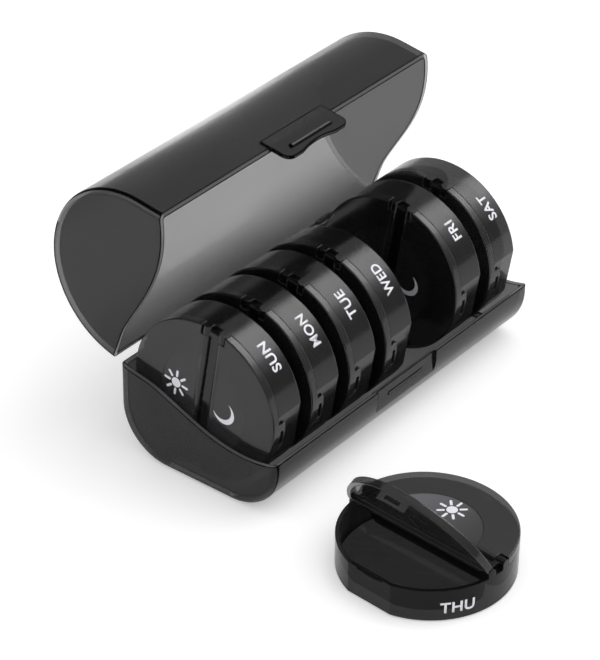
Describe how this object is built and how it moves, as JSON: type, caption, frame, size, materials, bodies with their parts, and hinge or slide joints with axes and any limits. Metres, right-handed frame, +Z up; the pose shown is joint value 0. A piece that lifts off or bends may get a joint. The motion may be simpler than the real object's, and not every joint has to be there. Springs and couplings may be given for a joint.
{
  "type": "weekly pill organizer",
  "caption": "Hinged barrel case with a wavy rim holding round two-compartment day pods on edge; the lid stands open and one pod lies in front with a lid raised.",
  "frame": {"origin": "centre of the flat foot under the tray", "axes": "+X along the case from the Sunday end to the Saturday end, +Y from the latch to the hinge, +Z up"},
  "size_m": [0.1658, 0.1853, 0.1056],
  "materials": {
    "case_smoke": "glossy smoky translucent polycarbonate",
    "cup_smoke": "glossy smoky translucent plastic",
    "lid_smoke": "glossy smoky translucent plastic",
    "pin_steel": "bright drawn wire",
    "label_white": "matt white print"
  },
  "bodies": {
    "tray": {"case_tray": "case_smoke", "tray_end_sun": "case_smoke", "tray_end_sat": "case_smoke", "slot_ribs": "case_smoke", "hinge_pin_left": "pin_steel", "hinge_pin_right": "pin_steel"},
    "lid": {"case_lid": "case_smoke"},
    "sun_pod": {"sun_cup": "cup_smoke"},
    "sun_am": {"sun_am_lid": "lid_smoke"},
    "sun_pm": {"sun_pm_lid": "lid_smoke"},
    "mon_pod": {"mon_cup": "cup_smoke"},
    "mon_am": {"mon_am_lid": "lid_smoke"},
    "mon_pm": {"mon_pm_lid": "lid_smoke"},
    "tue_pod": {"tue_cup": "cup_smoke"},
    "tue_am": {"tue_am_lid": "lid_smoke"},
    "tue_pm": {"tue_pm_lid": "lid_smoke"},
    "wed_pod": {"wed_cup": "cup_smoke"},
    "wed_am": {"wed_am_lid": "lid_smoke"},
    "wed_pm": {"wed_pm_lid": "lid_smoke"},
    "thu_pod": {"thu_cup": "cup_smoke"},
    "thu_am": {"thu_am_lid": "lid_smoke"},
    "thu_pm": {"thu_pm_lid": "lid_smoke"},
    "fri_pod": {"fri_cup": "cup_smoke"},
    "fri_am": {"fri_am_lid": "lid_smoke"},
    "fri_pm": {"fri_pm_lid": "lid_smoke"},
    "sat_pod": {"sat_cup": "cup_smoke"},
    "sat_am": {"sat_am_lid": "lid_smoke"},
    "sat_pm": {"sat_pm_lid": "lid_smoke"}
  },
  "joints": [
    {"name": "case_lid_hinge", "type": "hinge", "parent": "tray", "child": "lid", "pos_m": [0, 0.0368, 0.0343], "axis": [-1, 0, 0], "range_deg": [-81.5, 0]},
    {"name": "sun_pod_lift", "type": "slide", "parent": "tray", "child": "sun_pod", "axis": [0, 0, 1], "range_m": [0, 0.036]},
    {"name": "sun_am_lid_hinge", "type": "hinge", "parent": "sun_pod", "child": "sun_am", "pos_m": [-0.06968, 0.00346, 0.03405], "axis": [0, 0.1564, -0.9877], "range_deg": [-3, 0]},
    {"name": "sun_pm_lid_hinge", "type": "hinge", "parent": "sun_pod", "child": "sun_pm", "pos_m": [-0.06968, -0.00346, 0.03295], "axis": [0, 0.1564, -0.9877], "range_deg": [0, 3]},
    {"name": "mon_pod_lift", "type": "slide", "parent": "tray", "child": "mon_pod", "axis": [0, 0, 1], "range_m": [0, 0.036]},
    {"name": "mon_am_lid_hinge", "type": "hinge", "parent": "mon_pod", "child": "mon_am", "pos_m": [-0.04858, 0.00346, 0.03405], "axis": [0, 0.1564, -0.9877], "range_deg": [-10, 0]},
    {"name": "mon_pm_lid_hinge", "type": "hinge", "parent": "mon_pod", "child": "mon_pm", "pos_m": [-0.04858, -0.00346, 0.03295], "axis": [0, 0.1564, -0.9877], "range_deg": [0, 10]},
    {"name": "tue_pod_lift", "type": "slide", "parent": "tray", "child": "tue_pod", "axis": [0, 0, 1], "range_m": [0, 0.036]},
    {"name": "tue_am_lid_hinge", "type": "hinge", "parent": "tue_pod", "child": "tue_am", "pos_m": [-0.02747, 0.00346, 0.03405], "axis": [0, 0.1564, -0.9877], "range_deg": [-10, 0]},
    {"name": "tue_pm_lid_hinge", "type": "hinge", "parent": "tue_pod", "child": "tue_pm", "pos_m": [-0.02747, -0.00346, 0.03295], "axis": [0, 0.1564, -0.9877], "range_deg": [0, 10]},
    {"name": "wed_pod_lift", "type": "slide", "parent": "tray", "child": "wed_pod", "axis": [0, 0, 1], "range_m": [0, 0.036]},
    {"name": "wed_am_lid_hinge", "type": "hinge", "parent": "wed_pod", "child": "wed_am", "pos_m": [-0.00637, 0.00346, 0.03405], "axis": [0, 0.1564, -0.9877], "range_deg": [-10, 0]},
    {"name": "wed_pm_lid_hinge", "type": "hinge", "parent": "wed_pod", "child": "wed_pm", "pos_m": [-0.00637, -0.00346, 0.03295], "axis": [0, 0.1564, -0.9877], "range_deg": [0, 10]},
    {"name": "thu_pod_lift", "type": "slide", "parent": "tray", "child": "thu_pod", "axis": [0, 0, 1], "range_m": [0, 0.036]},
    {"name": "thu_am_lid_hinge", "type": "hinge", "parent": "thu_pod", "child": "thu_am", "pos_m": [-0.05701, -0.08894, 0.01427], "axis": [0.0698, 0.9976, 0], "range_deg": [-105, 0]},
    {"name": "thu_pm_lid_hinge", "type": "hinge", "parent": "thu_pod", "child": "thu_pm", "pos_m": [-0.06399, -0.08846, 0.01427], "axis": [0.0698, 0.9976, 0], "range_deg": [-62, 43]},
    {"name": "fri_pod_lift", "type": "slide", "parent": "tray", "child": "fri_pod", "axis": [0, 0, 1], "range_m": [0, 0.036]},
    {"name": "fri_am_lid_hinge", "type": "hinge", "parent": "fri_pod", "child": "fri_am", "pos_m": [0.03583, 0.00346, 0.03405], "axis": [0, 0.1564, -0.9877], "range_deg": [-60, 0]},
    {"name": "fri_pm_lid_hinge", "type": "hinge", "parent": "fri_pod", "child": "fri_pm", "pos_m": [0.03583, -0.00346, 0.03295], "axis": [0, 0.1564, -0.9877], "range_deg": [0, 11]},
    {"name": "sat_pod_lift", "type": "slide", "parent": "tray", "child": "sat_pod", "axis": [0, 0, 1], "range_m": [0, 0.036]},
    {"name": "sat_am_lid_hinge", "type": "hinge", "parent": "sat_pod", "child": "sat_am", "pos_m": [0.05693, 0.00346, 0.03405], "axis": [0, 0.1564, -0.9877], "range_deg": [-10, 0]},
    {"name": "sat_pm_lid_hinge", "type": "hinge", "parent": "sat_pod", "child": "sat_pm", "pos_m": [0.05693, -0.00346, 0.03295], "axis": [0, 0.1564, -0.9877], "range_deg": [0, 10]}
  ]
}
